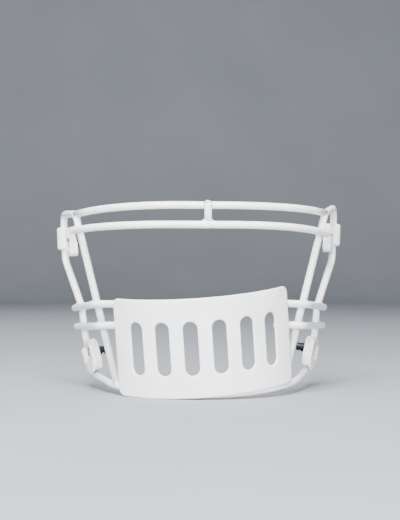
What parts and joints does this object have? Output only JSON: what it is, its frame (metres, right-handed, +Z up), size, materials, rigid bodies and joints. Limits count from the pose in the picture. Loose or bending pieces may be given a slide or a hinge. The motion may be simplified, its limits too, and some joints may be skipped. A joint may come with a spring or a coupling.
{
  "type": "football helmet facemask",
  "caption": "Welded wire facemask with brow bars, side loops, a slotted rolled mouth plate and quick-release clips that swing on its side wires.",
  "frame": {"origin": "middle of the part's bounding box, at its lowest point", "axes": "+X to the viewer's right, +Y back toward the helmet, +Z up"},
  "size_m": [0.2692, 0.1482, 0.1695],
  "materials": {
    "coated_wire": "white powder coat, satin",
    "coated_plate": "white powder coat, satin",
    "clip_nylon": "moulded white nylon",
    "coupler_steel": "turned and polished",
    "pin_steel": "ground",
    "spring_steel": "drawn wire"
  },
  "bodies": {
    "cage": {"left_temple_loop": "coated_wire", "left_inner_rail": "coated_wire", "left_outer_rail": "coated_wire", "left_upper_cheek_bar": "coated_wire", "left_lower_cheek_bar": "coated_wire", "right_temple_loop": "coated_wire", "right_inner_rail": "coated_wire", "right_outer_rail": "coated_wire", "right_upper_cheek_bar": "coated_wire", "right_lower_cheek_bar": "coated_wire", "upper_brow_bar": "coated_wire", "lower_brow_bar": "coated_wire", "brow_post": "coated_wire", "chin_bar": "coated_wire", "mouth_plate": "coated_plate"},
    "left_upper_clip_body": {"left_upper_clip": "clip_nylon", "left_upper_coupler": "coupler_steel", "left_upper_pin_spring": "spring_steel"},
    "left_upper_pin": {"left_upper_release_pin": "pin_steel"},
    "left_upper_top_ball": {"left_upper_top_lock_ball": "pin_steel"},
    "left_upper_bottom_ball": {"left_upper_bottom_lock_ball": "pin_steel"},
    "left_lower_clip_body": {"left_lower_clip": "clip_nylon", "left_lower_coupler": "coupler_steel", "left_lower_pin_spring": "spring_steel"},
    "left_lower_pin": {"left_lower_release_pin": "pin_steel"},
    "left_lower_top_ball": {"left_lower_top_lock_ball": "pin_steel"},
    "left_lower_bottom_ball": {"left_lower_bottom_lock_ball": "pin_steel"},
    "right_upper_clip_body": {"right_upper_clip": "clip_nylon", "right_upper_coupler": "coupler_steel", "right_upper_pin_spring": "spring_steel"},
    "right_upper_pin": {"right_upper_release_pin": "pin_steel"},
    "right_upper_top_ball": {"right_upper_top_lock_ball": "pin_steel"},
    "right_upper_bottom_ball": {"right_upper_bottom_lock_ball": "pin_steel"},
    "right_lower_clip_body": {"right_lower_clip": "clip_nylon", "right_lower_coupler": "coupler_steel", "right_lower_pin_spring": "spring_steel"},
    "right_lower_pin": {"right_lower_release_pin": "pin_steel"},
    "right_lower_top_ball": {"right_lower_top_lock_ball": "pin_steel"},
    "right_lower_bottom_ball": {"right_lower_bottom_lock_ball": "pin_steel"}
  },
  "joints": [
    {"name": "left_upper_clip_swing", "type": "hinge", "parent": "cage", "child": "left_upper_clip_body", "pos_m": [-0.12718, 0.06567, 0.13213], "axis": [0.0363, 0, -0.9993], "range_deg": [-60, 90]},
    {"name": "left_upper_pin_press", "type": "slide", "parent": "left_upper_clip_body", "child": "left_upper_pin", "axis": [0.9606, 0.2758, 0.0349], "range_m": [0, 0.0025], "stiffness_N_per_m": 400, "springref_m": -0.002, "deforming": ["left_upper_pin_spring"]},
    {"name": "left_upper_top_ball_sink", "type": "slide", "parent": "left_upper_clip_body", "child": "left_upper_top_ball", "axis": [0.0363, 0, -0.9993], "range_m": [0, 0.00061]},
    {"name": "left_upper_bottom_ball_sink", "type": "slide", "parent": "left_upper_clip_body", "child": "left_upper_bottom_ball", "axis": [-0.0363, 0, 0.9993], "range_m": [0, 0.00061]},
    {"name": "left_lower_clip_swing", "type": "hinge", "parent": "cage", "child": "left_lower_clip_body", "pos_m": [-0.10246, 0.0432, 0.02843], "axis": [0.2383, -0.4263, -0.8726], "range_deg": [-4, 90]},
    {"name": "left_lower_pin_press", "type": "slide", "parent": "left_lower_clip_body", "child": "left_lower_pin", "axis": [0.9442, 0.3122, 0.1053], "range_m": [0, 0.0025], "stiffness_N_per_m": 400, "springref_m": -0.002, "deforming": ["left_lower_pin_spring"]},
    {"name": "left_lower_top_ball_sink", "type": "slide", "parent": "left_lower_clip_body", "child": "left_lower_top_ball", "axis": [0.2383, -0.4263, -0.8726], "range_m": [0, 0.00061]},
    {"name": "left_lower_bottom_ball_sink", "type": "slide", "parent": "left_lower_clip_body", "child": "left_lower_bottom_ball", "axis": [-0.2383, 0.4263, 0.8726], "range_m": [0, 0.00061]},
    {"name": "right_upper_clip_swing", "type": "hinge", "parent": "cage", "child": "right_upper_clip_body", "pos_m": [0.12718, 0.06567, 0.13613], "axis": [0.0363, 0, 0.9993], "range_deg": [-60, 90]},
    {"name": "right_upper_pin_press", "type": "slide", "parent": "right_upper_clip_body", "child": "right_upper_pin", "axis": [-0.9606, 0.2758, 0.0349], "range_m": [0, 0.0025], "stiffness_N_per_m": 400, "springref_m": -0.002, "deforming": ["right_upper_pin_spring"]},
    {"name": "right_upper_top_ball_sink", "type": "slide", "parent": "right_upper_clip_body", "child": "right_upper_top_ball", "axis": [-0.0363, 0, -0.9993], "range_m": [0, 0.00061]},
    {"name": "right_upper_bottom_ball_sink", "type": "slide", "parent": "right_upper_clip_body", "child": "right_upper_bottom_ball", "axis": [0.0363, 0, 0.9993], "range_m": [0, 0.00061]},
    {"name": "right_lower_clip_swing", "type": "hinge", "parent": "cage", "child": "right_lower_clip_body", "pos_m": [0.10193, 0.04291, 0.02983], "axis": [0.2661, 0.4583, 0.848], "range_deg": [-4, 90]},
    {"name": "right_lower_pin_press", "type": "slide", "parent": "right_lower_clip_body", "child": "right_lower_pin", "axis": [-0.9381, 0.3254, 0.1185], "range_m": [0, 0.0025], "stiffness_N_per_m": 400, "springref_m": -0.002, "deforming": ["right_lower_pin_spring"]},
    {"name": "right_lower_top_ball_sink", "type": "slide", "parent": "right_lower_clip_body", "child": "right_lower_top_ball", "axis": [-0.2661, -0.4583, -0.848], "range_m": [0, 0.00061]},
    {"name": "right_lower_bottom_ball_sink", "type": "slide", "parent": "right_lower_clip_body", "child": "right_lower_bottom_ball", "axis": [0.2661, 0.4583, 0.848], "range_m": [0, 0.00061]}
  ],
  "couplings": [
    {"joint": "left_upper_top_ball_sink", "follows": "left_upper_pin_press", "ratio": 0.24},
    {"joint": "left_upper_bottom_ball_sink", "follows": "left_upper_pin_press", "ratio": 0.24},
    {"joint": "left_lower_top_ball_sink", "follows": "left_lower_pin_press", "ratio": 0.24},
    {"joint": "left_lower_bottom_ball_sink", "follows": "left_lower_pin_press", "ratio": 0.24},
    {"joint": "right_upper_top_ball_sink", "follows": "right_upper_pin_press", "ratio": 0.24},
    {"joint": "right_upper_bottom_ball_sink", "follows": "right_upper_pin_press", "ratio": 0.24},
    {"joint": "right_lower_top_ball_sink", "follows": "right_lower_pin_press", "ratio": 0.24},
    {"joint": "right_lower_bottom_ball_sink", "follows": "right_lower_pin_press", "ratio": 0.24}
  ]
}
